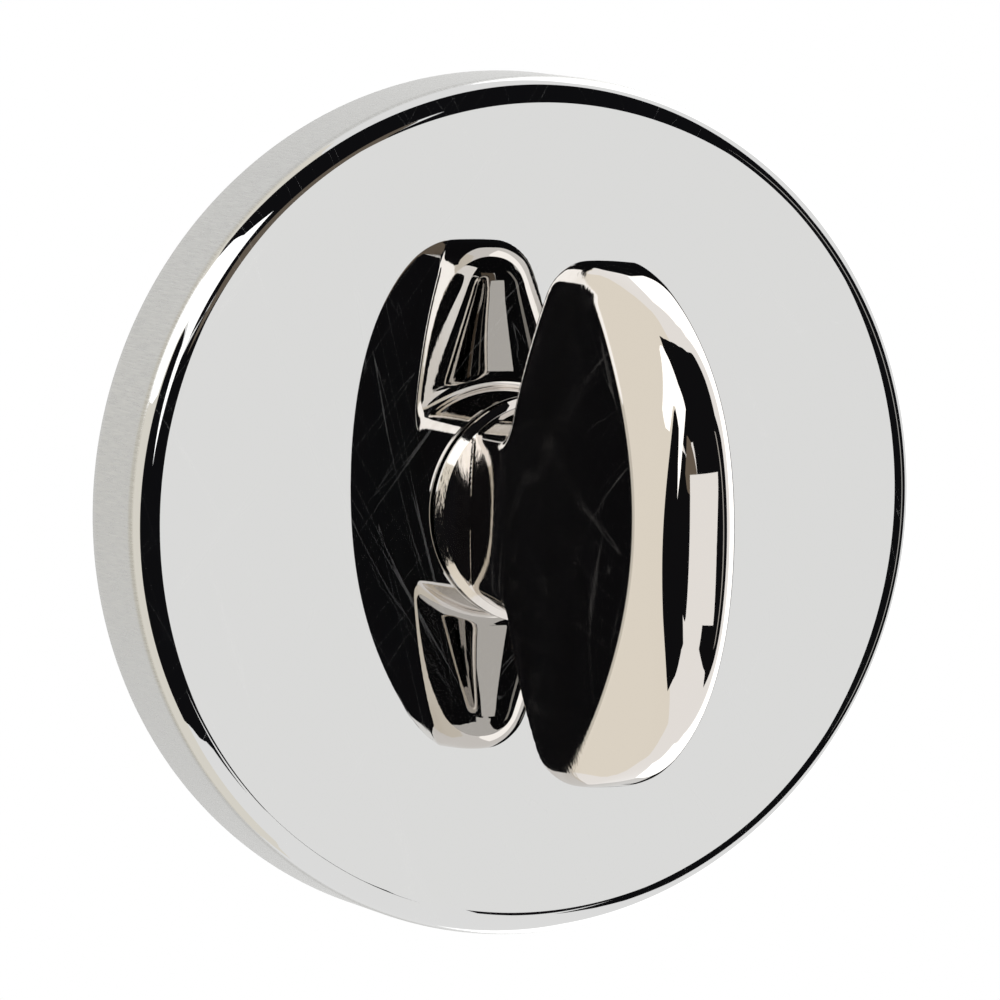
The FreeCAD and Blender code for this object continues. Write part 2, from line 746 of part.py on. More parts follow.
def make_thumb_turn():
    tab, neck, flare, shadow = make_tab(), make_neck(), make_flare(), make_tab_shadow()
    blend = doc.addObject("Part::Common", "flare_in_outline")
    blend.Base = flare
    blend.Tool = shadow
    casting = join("turn_casting", [tab, neck, blend])

    groove_start = clip_front - clip_groove_clearance
    groove_length = clip_thickness + clip_groove_clearance * 2
    groove_ring = cut("groove_space", cylinder("groove_outside", shank_radius + past, groove_start, groove_length),
                      cylinder("groove_inside", shank_radius - clip_groove_depth, groove_start, groove_length))
    across = shank_radius - flat_depth
    outside = shank_radius + past
    flats = [block(f"flat_{side}", (way * across if way > 0 else -outside, stop_front, -outside),
                   (outside if way > 0 else -across, shank_end, outside))
             for side, way in (("right", 1), ("left", -1))]
    broach_half = spindle_width / 2 + spindle_clearance
    broach = block("broach", (-broach_half, -spindle_seat - spindle_clearance, -broach_half),
                   (broach_half, shank_end, broach_half))
    pin_hole = pin_rod("turn_pin_hole", pin_radius, shank_radius * 2 + past)
    turn = cut("thumb_turn", casting, join("turn_cuts", [groove_ring, broach, pin_hole] + flats))
    turn.Label = "thumb_turn"
    return turn


def check(nodes):
    """Stop if any object failed, or if any piece is empty, invalid or not whole."""
    for item in doc.Objects:
        if "Invalid" in item.State or "Error" in item.State:
            raise RuntimeError(f"{item.Label} failed: {item.State}")
    for name, item in nodes.items():
        shape = item.Shape
        if shape.isNull() or not shape.isValid() or len(shape.Solids) != 1:
            raise RuntimeError(f"{name} is not one valid solid")


def main():
    makers = [make_rose_cover, make_base_plate, make_cover_o_ring, make_neck_bush, make_thumb_turn,
              make_stop_washer, make_wave_washer, make_shim_washer, make_circlip, make_spindle, make_spindle_pin]
    made = [maker() for maker in makers]
    doc.recompute()
    nodes = {item.Label: item for item in made}
    check(nodes)
    os.makedirs("parts", exist_ok=True)
    for name, item in nodes.items():
        item.Shape.exportStep(f"parts/{name}.step")
        box = item.Shape.BoundBox
        print(f"{name}: {item.Shape.Volume:.1f} mm3, x {box.XMin:.2f} {box.XMax:.2f}, "
              f"y {box.YMin:.2f} {box.YMax:.2f}, z {box.ZMin:.2f} {box.ZMax:.2f}")


main()
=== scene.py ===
import bpy
import numpy as np
from mathutils import Matrix, Vector


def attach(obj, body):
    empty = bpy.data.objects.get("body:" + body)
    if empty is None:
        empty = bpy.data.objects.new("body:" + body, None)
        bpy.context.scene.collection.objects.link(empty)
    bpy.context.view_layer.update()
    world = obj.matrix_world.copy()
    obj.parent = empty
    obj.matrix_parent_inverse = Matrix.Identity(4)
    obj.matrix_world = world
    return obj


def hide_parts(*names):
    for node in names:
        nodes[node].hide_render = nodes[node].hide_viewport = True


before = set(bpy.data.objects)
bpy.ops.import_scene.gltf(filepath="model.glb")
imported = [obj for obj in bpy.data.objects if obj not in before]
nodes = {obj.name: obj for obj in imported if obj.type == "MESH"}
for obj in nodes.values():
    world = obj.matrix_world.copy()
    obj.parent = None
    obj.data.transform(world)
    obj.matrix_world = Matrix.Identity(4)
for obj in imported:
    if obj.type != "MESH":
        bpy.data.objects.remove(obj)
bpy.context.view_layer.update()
millimetre = 0.001
print("frame loaded:", len(nodes), "nodes")


# Small helpers for meshes

def addMesh(name, points, *faceSets, smooth=True):
    # points is an array of rows x, y, z in millimetres, and each set of faces one of rows of point numbers
    faces = [corners for faceSet in faceSets for corners in np.asarray(faceSet).tolist()]
    mesh = bpy.data.meshes.new(name)
    mesh.from_pydata((np.asarray(points) * millimetre).tolist(), [], faces)
    mesh.polygons.foreach_set("use_smooth", np.full(len(mesh.polygons), smooth))
    mesh.update()
    piece = bpy.data.objects.new(name, mesh)
    bpy.context.scene.collection.objects.link(piece)
    return piece


def gridFaces(rows, columns, start=0):
    # Quads between neighbouring rows of a grid whose last column joins its first
    row, column = np.meshgrid(np.arange(rows - 1), np.arange(columns), indexing="ij")
    beside = (column + 1) % columns
    corners = [row * columns + column, row * columns + beside, (row + 1) * columns + beside,
               (row + 1) * columns + column]
    return np.stack(corners, -1).reshape(-1, 4) + start


def fanFaces(centre, start, columns):
    # Triangles from one point to each edge of a ring
    column = np.arange(columns)
    return np.stack([np.full(columns, centre), start + column, start + (column + 1) % columns], -1)


def turnedSurface(radii, depths, columns):
    # A profile turned about the Y axis: each profile point (radius, depth) becomes a ring of points
    angle = np.linspace(0, 2 * np.pi, columns, endpoint=False)
    radii, depths = np.asarray(radii)[:, None], np.asarray(depths)[:, None]
    ring = np.stack([radii * np.cos(angle), depths + 0 * angle, radii * np.sin(angle)], -1)
    return ring.reshape(-1, 3)


def arcOf(centre, radius, first, last, count):
    # Points on an arc in the plane of radius and depth, by angle in degrees
    angle = np.radians(np.linspace(first, last, count))
    return np.stack([centre[0] + radius * np.cos(angle), centre[1] + radius * np.sin(angle)], -1)


# Camera

view = {"distance": 0.5, "azimuth": -25.247, "elevation": 5.742, "roll": 1.199,
        "lens": 295.76, "shiftX": 0.01255, "shiftY": -0.00258}


def direction(azimuth, elevation):
    # Unit vector from the object: azimuth from the front towards the right, elevation upwards, in degrees
    a, e = np.radians(azimuth), np.radians(elevation)
    return Vector((np.sin(a) * np.cos(e), -np.cos(a) * np.cos(e), np.sin(e)))


def makeCamera():
    data = bpy.data.cameras.new("camera")
    data.sensor_width = 36
    data.lens = view["lens"]
    data.shift_x, data.shift_y = view["shiftX"], view["shiftY"]
    camera = bpy.data.objects.new("camera", data)
    bpy.context.scene.collection.objects.link(camera)
    back = direction(view["azimuth"], view["elevation"])
    facing = back.to_track_quat("Z", "Y").to_matrix().to_4x4()
    roll = Matrix.Rotation(np.radians(view["roll"]), 4, "Z")
    camera.matrix_world = Matrix.Translation(back * view["distance"]) @ facing @ roll
    bpy.context.scene.camera = camera


makeCamera()
bpy.context.scene.view_settings.view_transform = "Standard"
print("camera placed")


# Studio: a white surround, a round floor, one soft lamp, and the cards that the mirror finish shows

studio = {"floorHeight": -0.12, "floorRadius": 0.42, "floorSides": 96, "floorColour": (0.82, 0.82, 0.81),
          "floorRoughness": 0.9, "floorSpecular": 0.1, "floorFade": (0.16, 0.36), "cardDistance": 0.8,
          "faceCardDistance": 0.3, "brightCard": 1.7, "worldLight": 0.9, "lampPower": 6.0,
          "lampDistance": 0.9, "lampSize": 0.5, "lampAzimuth": -40, "lampElevation": 48}
aim = Vector((0, -0.008, 0))


def emission(name, colour, strength):
    material = bpy.data.materials.new(name)
    material.use_nodes = True
    tree = material.node_tree
    tree.nodes.clear()
    glow = tree.nodes.new("ShaderNodeEmission")
    glow.inputs["Color"].default_value = (*colour, 1)
    glow.inputs["Strength"].default_value = strength
    out = tree.nodes.new("ShaderNodeOutputMaterial")
    tree.links.new(glow.outputs[0], out.inputs["Surface"])
    return material


def card(name, corners, colour, strength=1.0, distance=None):
    # A flat card seen from the object between the given directions, rows of azimuth and elevation.
    # Only mirror reflections see it, as a photographer's flag or reflector just out of the picture.
    distance = distance or studio["cardDistance"]
    rays = [direction(*corner) for corner in corners]
    middle = sum(rays, Vector()).normalized()
    points = [(aim + ray * (distance / ray.dot(middle))) / millimetre for ray in rays]
    piece = addMesh(name, points, [list(range(len(points)))], smooth=False)
    piece.data.materials.append(emission(name, colour, strength))
    for ray in ("visible_camera", "visible_diffuse", "visible_shadow", "visible_transmission",
                "visible_volume_scatter"):
        setattr(piece, ray, False)


black, olive = (0.006, 0.006, 0.007), (0.16, 0.13, 0.10)
grey, white, faceWhite, cream = (0.42, 0.41, 0.39), (1, 1, 1), (1.0, 1.0, 0.995), (0.93, 0.89, 0.80)


def makeCards():
    bright = studio["brightCard"]
    card("flagLeft", [(-67, -35), (-69, -10), (-69, 10), (-66, 23), (-56, 28), (-45, 24), (-35, 19),
                      (-25, 14), (-18, 11), (0, 8), (22, -1), (24, -12), (20, -12), (10, -20), (0, -23),
                      (-10, -28), (-20, -33), (-30, -37), (-40, -39), (-50, -41), (-64, -43)], black)
    card("flagOlive", [(0, 15), (20, 10), (24, -3), (4, 3)], olive, distance=0.79)
    card("softBox", [(-45, 25), (-55, 29), (-64, 28), (-70, 17), (-87, 16), (-114, 15), (-118, 28),
                     (-102, 45), (-79, 50), (-44, 44), (-9, 29), (-16, 14), (-18, 5), (-23, 0), (-30, 8),
                     (-36, 20)], white, bright, distance=0.5)
    card("flagUpper", [(-9, 29), (-44, 44), (-79, 50), (-102, 45), (-112, 42), (-95, 60), (-72, 72),
                       (18, 76), (60, 62), (64, 36), (60, 17), (30, 10), (0, 8), (-16, 13)], black,
         distance=0.775)
    card("flagRight", [(12.5, 47), (20, 42), (30, 35), (40, 28), (50, 21), (60, 17), (72, 8), (75, -6),
                       (75, -15), (72, -22), (50, -36), (40, -33), (33, -27), (28, -20), (25, -12),
                       (23, 0)], black)
    card("stripRight", [(38, 13), (44, 12), (53, 2), (58, -8), (57, -18), (52, -20), (53, -10), (49, 0)],
         grey, distance=0.77)
    card("sideWhite", [(92, -60), (92, 60), (150, 60), (150, -60)], white, bright)
    card("faceCard", [(18.0, 2.0), (32.6, 2.0), (32.6, -14), (18.0, -14)], faceWhite,
         distance=studio["faceCardDistance"])
    card("lowerRight", [(10, -13), (28, -14), (28, -30), (10, -24)], faceWhite, distance=0.76)
    card("leftSide", [(-54, -70), (-54, 70), (-100, 74), (-146, 70), (-146, -70), (-100, -74)], cream,
         distance=0.86)


def makeWorld():
    # White to the camera, to mirrors and through glass; a plain level of light for everything else
    world = bpy.data.worlds.new("studio")
    bpy.context.scene.world = world
    world.use_nodes = True
    tree = world.node_tree
    tree.nodes.clear()
    path = tree.nodes.new("ShaderNodeLightPath")
    either = tree.nodes.new("ShaderNodeMath")
    either.operation = "MAXIMUM"
    tree.links.new(path.outputs["Is Camera Ray"], either.inputs[0])
    tree.links.new(path.outputs["Is Glossy Ray"], either.inputs[1])
    seen = tree.nodes.new("ShaderNodeMath")
    seen.operation = "MAXIMUM"
    tree.links.new(either.outputs[0], seen.inputs[0])
    tree.links.new(path.outputs["Is Transmission Ray"], seen.inputs[1])
    level = tree.nodes.new("ShaderNodeMapRange")
    level.inputs["To Min"].default_value = studio["worldLight"]
    level.inputs["To Max"].default_value = 1.0
    tree.links.new(seen.outputs[0], level.inputs["Value"])
    sky = tree.nodes.new("ShaderNodeBackground")
    sky.inputs["Color"].default_value = (1, 1, 1, 1)
    tree.links.new(level.outputs[0], sky.inputs["Strength"])
    out = tree.nodes.new("ShaderNodeOutputWorld")
    tree.links.new(sky.outputs[0], out.inputs["Surface"])


def makeFloor():
    # A round pale floor well below the object: the shadow falls near its middle, and outwards it fades to
    # white
    sides = studio["floorSides"]
    ring = np.linspace(0, 2 * np.pi, sides, endpoint=False)
    reach = studio["floorRadius"] / millimetre
    points = np.stack([reach * np.cos(ring), reach * np.sin(ring),
                       np.full(sides, studio["floorHeight"] / millimetre)], -1)
    floor = addMesh("floor", points, [list(range(sides))], smooth=False)
    material = bpy.data.materials.new("paleFloor")
    material.use_nodes = True
    tree = material.node_tree
    surface = tree.nodes["Principled BSDF"]
    surface.inputs["Base Color"].default_value = (*studio["floorColour"], 1)
    surface.inputs["Roughness"].default_value = studio["floorRoughness"]
    surface.inputs["Specular IOR Level"].default_value = studio["floorSpecular"]
    place = tree.nodes.new("ShaderNodeTexCoord")
    length = tree.nodes.new("ShaderNodeVectorMath")
    length.operation = "LENGTH"
    tree.links.new(place.outputs["Object"], length.inputs[0])
    fade = tree.nodes.new("ShaderNodeMapRange")
    fade.interpolation_type = "SMOOTHSTEP"
    fade.inputs["From Min"].default_value, fade.inputs["From Max"].default_value = studio["floorFade"]
    tree.links.new(length.outputs["Value"], fade.inputs["Value"])
    path = tree.nodes.new("ShaderNodeLightPath")
    only = tree.nodes.new("ShaderNodeMath")
    only.operation = "MULTIPLY"
    tree.links.new(fade.outputs[0], only.inputs[0])
    tree.links.new(path.outputs["Is Camera Ray"], only.inputs[1])
    glow = tree.nodes.new("ShaderNodeEmission")
    mix = tree.nodes.new("ShaderNodeMixShader")
    tree.links.new(only.outputs[0], mix.inputs["Fac"])
    tree.links.new(surface.outputs[0], mix.inputs[1])
    tree.links.new(glow.outputs[0], mix.inputs[2])
    tree.links.new(mix.outputs[0], tree.nodes["Material Output"].inputs["Surface"])
    floor.data.materials.append(material)
    floor.visible_glossy = False


def makeLamp():
    data = bpy.data.lights.new("softLamp", "AREA")
    data.shape, data.size, data.energy = "SQUARE", studio["lampSize"], studio["lampPower"]
    lamp = bpy.data.objects.new("softLamp", data)
    bpy.context.scene.collection.objects.link(lamp)
    way = direction(studio["lampAzimuth"], studio["lampElevation"])
    facing = way.to_track_quat("Z", "Y").to_matrix().to_4x4()
    lamp.matrix_world = Matrix.Translation(aim + way * studio["lampDistance"]) @ facing
    lamp.visible_glossy = False
    lamp.visible_camera = False


makeWorld()
makeFloor()
makeCards()
makeLamp()
print("studio made")


# Shader helpers and groups

def newGroup(name, inputs, outputs):
    group = bpy.data.node_groups.new(name, "ShaderNodeTree")
    kinds = {"float": "NodeSocketFloat", "vector": "NodeSocketVector", "colour": "NodeSocketColor"}
    for socket, kind, value in inputs:
        item = group.interface.new_socket(socket, in_out="INPUT", socket_type=kinds[kind])
        if value is not None:
            item.default_value = value
    for socket, kind in outputs:
        group.interface.new_socket(socket, in_out="OUTPUT", socket_type=kinds[kind])
    return group, group.nodes.new("NodeGroupInput"), group.nodes.new("NodeGroupOutput")


def maths(tree, operation, first, second=None):
    node = tree.nodes.new("ShaderNodeMath")
    node.operation = operation
    for socket, value in zip(node.inputs, (first, second)):
        if value is None:
            continue
        if isinstance(value, (int, float)):
            socket.default_value = value
        else:
            tree.links.new(value, socket)
    return node.outputs[0]


def ranged(tree, value, low, high, toLow=0.0, toHigh=1.0):
    node = tree.nodes.new("ShaderNodeMapRange")
    node.interpolation_type = "SMOOTHSTEP"
    for socket, number in (("From Min", low), ("From Max", high), ("To Min", toLow), ("To Max", toHigh)):
        node.inputs[socket].default_value = number
    tree.links.new(value, node.inputs["Value"])
    return node.outputs[0]


def mixColours(tree, amount, first, second):
    node = tree.nodes.new("ShaderNodeMix")
    node.data_type = "RGBA"
    tree.links.new(amount, node.inputs["Factor"])
    for socket, colour in ((node.inputs[6], first), (node.inputs[7], second)):
        if isinstance(colour, tuple):
            socket.default_value = (*colour, 1)
        else:
            tree.links.new(colour, socket)
    return node.outputs[2]


def mixValues(tree, amount, first, second):
    node = tree.nodes.new("ShaderNodeMix")
    node.data_type = "FLOAT"
    tree.links.new(amount, node.inputs[0])
    for socket, value in ((node.inputs[2], first), (node.inputs[3], second)):
        if isinstance(value, (int, float)):
            socket.default_value = value
        else:
            tree.links.new(value, socket)
    return node.outputs[0]


def placed(tree, place, turn=(0, 0, 0), scale=(1, 1, 1)):
    # The place turned first and then stretched for a pattern, so a mapping node for each
    for socket, values in (("Rotation", [np.radians(part) for part in turn]), ("Scale", scale)):
        node = tree.nodes.new("ShaderNodeMapping")
        node.inputs[socket].default_value = values
        tree.links.new(place, node.inputs["Vector"])
        place = node.outputs[0]
    return place


def noise(tree, place, scale, detail, roughness=0.5):
    node = tree.nodes.new("ShaderNodeTexNoise")
    for socket, number in (("Scale", scale), ("Detail", detail), ("Roughness", roughness)):
        node.inputs[socket].default_value = number
    tree.links.new(place, node.inputs["Vector"])
    return node.outputs["Fac"]


def makeHairlines():
    # Hairline scratches: thin level lines of stretched noise, kept only in patches. Place comes in turned and
    # stretched by the material, so each layer runs its own way.
    group, given, result = newGroup("hairlines", [("Place", "vector", None), ("Width", "float", 0.01),
                                                  ("Amount", "float", 0.5)], [("Mask", "float")])
    field = noise(group, given.outputs["Place"], 1.0, 1.0)
    node = group.nodes.new("ShaderNodeVectorMath")
    node.operation = "SCALE"
    node.inputs["Scale"].default_value = 0.45
    group.links.new(given.outputs["Place"], node.inputs[0])
    patch = noise(group, node.outputs[0], 1.0, 2.0)
    off = maths(group, "ABSOLUTE", maths(group, "SUBTRACT", field, 0.5))
    line = maths(group, "SUBTRACT", 1.0, maths(group, "DIVIDE", off, given.outputs["Width"]))
    line = maths(group, "MAXIMUM", line, 0.0)
    kept = ranged(group, maths(group, "ADD", patch, maths(group, "MULTIPLY", given.outputs["Amount"], 0.3)),
                  0.6, 0.7)
    group.links.new(maths(group, "MULTIPLY", line, kept), result.inputs["Mask"])
    return group


def makeGrain():
    # Fine uneven grain: two sizes of noise added, put out as a height and as a slow tone
    group, given, result = newGroup("grain", [("Place", "vector", None), ("Size", "float", 1000.0)],
                                    [("Height", "float"), ("Tone", "float")])
    fine = group.nodes.new("ShaderNodeTexNoise")
    coarse = group.nodes.new("ShaderNodeTexNoise")
    for node, detail in ((fine, 4.0), (coarse, 3.0)):
        node.inputs["Detail"].default_value = detail
        group.links.new(given.outputs["Place"], node.inputs["Vector"])
    group.links.new(given.outputs["Size"], fine.inputs["Scale"])
    group.links.new(maths(group, "MULTIPLY", given.outputs["Size"], 0.12), coarse.inputs["Scale"])
    height = maths(group, "ADD", maths(group, "MULTIPLY", fine.outputs["Fac"], 0.7),
                   maths(group, "MULTIPLY", coarse.outputs["Fac"], 0.3))
    group.links.new(height, result.inputs["Height"])
    group.links.new(coarse.outputs["Fac"], result.inputs["Tone"])
    return group


hairlines, grain = makeHairlines(), makeGrain()


def useGroup(tree, group, **values):
    node = tree.nodes.new("ShaderNodeGroup")
    node.node_tree = group
    for name, value in values.items():
        if isinstance(value, (int, float)):
            node.inputs[name].default_value = value
        else:
            tree.links.new(value, node.inputs[name])
    return node


def newMaterial(name, colour, metallic=1.0):
    material = bpy.data.materials.new(name)
    material.use_nodes = True
    tree = material.node_tree
    surface = tree.nodes["Principled BSDF"]
    surface.inputs["Base Color"].default_value = (*colour, 1)
    surface.inputs["Metallic"].default_value = metallic
    place = tree.nodes.new("ShaderNodeTexCoord").outputs["Object"]
    return material, tree, surface, place


def bumped(tree, surface, height, strength, distance):
    node = tree.nodes.new("ShaderNodeBump")
    node.inputs["Strength"].default_value = strength
    node.inputs["Distance"].default_value = distance
    tree.links.new(height, node.inputs["Height"])
    tree.links.new(node.outputs[0], surface.inputs["Normal"])


# Polished nickel of the rose: a mirror face with faint wipe marks, and a satin side wall. Each layer of
# scratches has its turn in degrees, how many noise cells a metre it has across and along.

roseFinish = {"colour": (0.70, 0.70, 0.695), "mirrorRoughness": 0.008, "scratchDulling": 0.06,
              "scratchWidth": 0.003, "scratchAmount": 0.45,
              "layers": ((31, 620, 30), (16, 800, 24), (-38, 700, 34)),
              "sideFrom": 0.02585, "sideBlend": 0.0001, "sideLight": (0.58, 0.58, 0.565),
              "sideDark": (0.46, 0.455, 0.44), "satinRoughness": (0.24, 0.40), "streaksRound": 26.0,
              "streaksAlong": 60.0, "streakSize": 9.0, "markDepth": 0.00004, "markStrength": 0.35}


def makeRoseNickel():
    material, tree, surface, place = newMaterial("polishedNickelRose", roseFinish["colour"])
    split = tree.nodes.new("ShaderNodeSeparateXYZ")
    tree.links.new(place, split.inputs[0])
    radius = maths(tree, "SQRT", maths(tree, "ADD", maths(tree, "POWER", split.outputs[0], 2.0),
                                       maths(tree, "POWER", split.outputs[2], 2.0)))
    side = ranged(tree, radius, roseFinish["sideFrom"], roseFinish["sideFrom"] + roseFinish["sideBlend"])
    # Layers of hairlines, each turned and stretched its own way
    masks = []
    for turn, across, along in roseFinish["layers"]:
        spot = placed(tree, place, turn=(0, turn, 0), scale=(across, 1, along))
        masks.append(useGroup(tree, hairlines, Place=spot, Width=roseFinish["scratchWidth"],
                              Amount=roseFinish["scratchAmount"]).outputs["Mask"])
    scratch = maths(tree, "MAXIMUM", maths(tree, "MAXIMUM", masks[0], masks[1]), masks[2])
    # The side wall has fine marks along the rose's axis
    angle = maths(tree, "ARCTAN2", split.outputs[2], split.outputs[0])
    around = tree.nodes.new("ShaderNodeCombineXYZ")
    tree.links.new(maths(tree, "MULTIPLY", angle, roseFinish["streaksRound"]), around.inputs[0])
    tree.links.new(maths(tree, "MULTIPLY", split.outputs[1], roseFinish["streaksAlong"]), around.inputs[1])
    streak = noise(tree, around.outputs[0], roseFinish["streakSize"], 5.0, 0.65)
    # A scratch scatters light, so it is a little less of a mirror
    dulled = maths(tree, "MULTIPLY", scratch, roseFinish["scratchDulling"])
    tree.links.new(maths(tree, "SUBTRACT", 1.0, dulled), surface.inputs["Metallic"])
    satin = ranged(tree, streak, 0.3, 0.7, *roseFinish["satinRoughness"])
    tree.links.new(mixValues(tree, side, roseFinish["mirrorRoughness"], satin), surface.inputs["Roughness"])
    sideTone = mixColours(tree, ranged(tree, streak, 0.3, 0.7), roseFinish["sideDark"],
                          roseFinish["sideLight"])
    tree.links.new(mixColours(tree, side, roseFinish["colour"], sideTone), surface.inputs["Base Color"])
    bumped(tree, surface, maths(tree, "MULTIPLY", streak, side), roseFinish["markStrength"],
           roseFinish["markDepth"])
    return material


# Polished nickel of the turn: warmer, with a fine grain left by the polishing on its two flanks

turnFinish = {"colour": (0.75, 0.71, 0.67), "hazeColour": (0.68, 0.635, 0.585), "roughness": 0.015,
              "flankRoughness": 0.045, "grainSize": 4200.0, "grainDepth": 0.000012, "grainStrength": 0.5,
              "grainStretch": (1, 1, 0.45), "flankFrom": 0.66, "flankTo": 0.86, "halfWidth": 0.00518,
              "endDrop": 10.8}


def makeTurnNickel():
    material, tree, surface, place = newMaterial("polishedNickelTurn", turnFinish["colour"])
    split = tree.nodes.new("ShaderNodeSeparateXYZ")
    tree.links.new(place, split.inputs[0])
    made = useGroup(tree, grain, Place=placed(tree, place, scale=turnFinish["grainStretch"]),
                    Size=turnFinish["grainSize"])
    # How far across the turn a place is, as a share of the half width, which falls with the length squared
    half = maths(tree, "SUBTRACT", turnFinish["halfWidth"],
                 maths(tree, "MULTIPLY", maths(tree, "POWER", split.outputs[2], 2.0), turnFinish["endDrop"]))
    across = maths(tree, "DIVIDE", maths(tree, "ABSOLUTE", split.outputs[0]), half)
    flank = ranged(tree, across, turnFinish["flankFrom"], turnFinish["flankTo"])
    tone = maths(tree, "MULTIPLY", ranged(tree, made.outputs["Tone"], 0.35, 0.65), flank)
    tree.links.new(mixColours(tree, tone, turnFinish["colour"], turnFinish["hazeColour"]),
                   surface.inputs["Base Color"])
    tree.links.new(mixValues(tree, flank, turnFinish["roughness"], turnFinish["flankRoughness"]),
                   surface.inputs["Roughness"])
    bumped(tree, surface, maths(tree, "MULTIPLY", made.outputs["Height"], flank),
           turnFinish["grainStrength"], turnFinish["grainDepth"])
    return material


# Finishes of the pieces inside

hiddenFinishes = {
    "zincCasting": {"colour": (0.36, 0.37, 0.38), "second": (0.26, 0.265, 0.27), "metallic": 1.0,
                    "roughness": (0.42, 0.62), "size": 1500.0, "depth": 0.00003, "stretch": (1, 1, 1)},
    "zincPlated": {"colour": (0.56, 0.57, 0.60), "second": (0.44, 0.45, 0.50), "metallic": 1.0,
                   "roughness": (0.2, 0.36), "size": 900.0, "depth": 0.000008, "stretch": (1, 0.2, 1)},
    "springSteel": {"colour": (0.055, 0.055, 0.06), "second": (0.03, 0.03, 0.034), "metallic": 0.85,
                    "roughness": (0.35, 0.5), "size": 1800.0, "depth": 0.00001, "stretch": (1, 1, 1)},
    "blackRubber": {"colour": (0.014, 0.014, 0.014), "second": (0.024, 0.023, 0.022), "metallic": 0.0,
                    "roughness": (0.6, 0.78), "size": 1200.0, "depth": 0.00002, "stretch": (1, 1, 1)},
    "naturalNylon": {"colour": (0.70, 0.68, 0.60), "second": (0.64, 0.61, 0.53), "metallic": 0.0,
                     "roughness": (0.36, 0.5), "size": 700.0, "depth": 0.00001, "stretch": (1, 1, 1)}}
nodeFinish = {"base_plate": "zincCasting", "cover_o_ring": "blackRubber", "neck_bush": "naturalNylon",
              "stop_washer": "zincPlated", "shim_washer": "zincPlated", "spindle": "zincPlated",
              "wave_washer": "springSteel", "circlip": "springSteel", "spindle_pin": "springSteel"}


def makeHiddenFinish(name):
    values = hiddenFinishes[name]
    material, tree, surface, place = newMaterial(name, values["colour"], values["metallic"])
    made = useGroup(tree, grain, Place=placed(tree, place, scale=values["stretch"]), Size=values["size"])
    tone = ranged(tree, made.outputs["Tone"], 0.3, 0.7)
    tree.links.new(mixColours(tree, tone, values["colour"], values["second"]), surface.inputs["Base Color"])
    low, high = values["roughness"]
    tree.links.new(ranged(tree, made.outputs["Height"], 0.3, 0.7, low, high), surface.inputs["Roughness"])
    bumped(tree, surface, made.outputs["Height"], 0.6, values["depth"])
    return material


def dress(piece, material):
    if not piece.material_slots:
        piece.data.materials.append(material)
    for slot in piece.material_slots:
        slot.material = material


finishes = {name: makeHiddenFinish(name) for name in hiddenFinishes}
for nodeName, finish in nodeFinish.items():
    dress(nodes[nodeName], finishes[finish])
print("materials made")


# Rose cover

rose = {"radius": 26.0, "thickness": 6.8, "edge": 1.35, "wall": 1.2, "inner": 0.6, "hole": 6.2,
        "backEdge": 0.12, "holeEdge": 0.08, "columns": 720}


def makeRose():
    # One closed profile turned about the axis: hole, mirror face, rounded edge, side wall, back lip, inside
    face, inside = -rose["thickness"], rose["radius"] - rose["wall"]
    ceiling = face + rose["wall"]
    edge, lip, mouth = rose["edge"], rose["backEdge"], rose["holeEdge"]
    profile = np.concatenate([
        arcOf((rose["hole"] + mouth, ceiling - mouth), mouth, 90, 180, 4),
        arcOf((rose["hole"] + mouth, face + mouth), mouth, 180, 270, 5),
        np.stack([np.linspace(rose["hole"] + 0.6, rose["radius"] - edge - 0.3, 12), np.full(12, face)], -1),
        arcOf((rose["radius"] - edge, face + edge), edge, 270, 360, 28),
        np.stack([np.full(4, rose["radius"]), np.linspace(face + edge + 0.5, -lip - 0.5, 4)], -1),
        arcOf((rose["radius"] - lip, -lip), lip, 0, 90, 4),
        arcOf((inside + lip, -lip), lip, 90, 180, 4),
        arcOf((inside - rose["inner"], ceiling + rose["inner"]), rose["inner"], 0, -90, 8)])
    profile = np.concatenate([profile, profile[:1]])
    rings, columns = len(profile), rose["columns"]
    points = turnedSurface(profile[:-1, 0], profile[:-1, 1], columns)
    faces = gridFaces(rings, columns) % len(points)
    piece = addMesh("roseCoverSkin", points, faces)
    dress(piece, makeRoseNickel())
    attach(piece, "rose")
    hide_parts("rose_cover")


makeRose()
print("rose cover made")


# Thumb turn: sizes in millimetres, heights above the rose's face, changes with even powers of the length

knob = {"face": -6.8, "front": 22.428, "frontDrop": (0.901, 3.066, 2.241), "crown": 13.484,
        "crownChange": 6.004, "corner": 1.268, "cornerChange": (-0.52, 0.176), "half": 5.181,
        "halfDrop": (2.118, 0.106), "back": 6.274, "backRise": (1.718, -0.594), "lean": 81.416,
        "leanChange": (-3.611, -0.162), "flank": 307.7, "flankChange": 42.3, "shoulder": 0.8, "ease": 1.5,
        "backEdge": 0.3, "backCrown": 0.6, "crownGrowth": 0.9, "halfLength": 15.505,
        "endRound": (1.6, 1.01), "frontRound": (2.7, 2.364), "backRound": (2.2, 1.746), "least": 0.3,
        "scale": 14.0, "centre": 10.0, "reach": 26.0, "columns": 432, "gather": 0.28, "rows": 170,
        "lastAngle": 138.6, "halvings": 34, "sharpFrom": 35}
neck = {"gap": 0.25, "base": 6.9, "edge": 0.3, "rounding": 0.07, "bevel": 0.4, "ledge": 0.17,
        "column": 6.42, "widening": 0.09, "tuck": 0.117, "flare": 0.7, "blend": 0.03, "rowsFrom": 2.3}


def powers(first, changes, u):
    # The first value plus each change times a rising power of u
    return first + sum(change * u ** (step + 1) for step, change in enumerate(changes))


def roundedBoth(first, second, radius):
    # The part inside both, as a distance: below nought inside, with a rounded edge where they meet
    u, w = np.maximum(first + radius, 0), np.maximum(second + radius, 0)
    return np.minimum(-radius, np.maximum(first, second)) + np.sqrt(u * u + w * w)


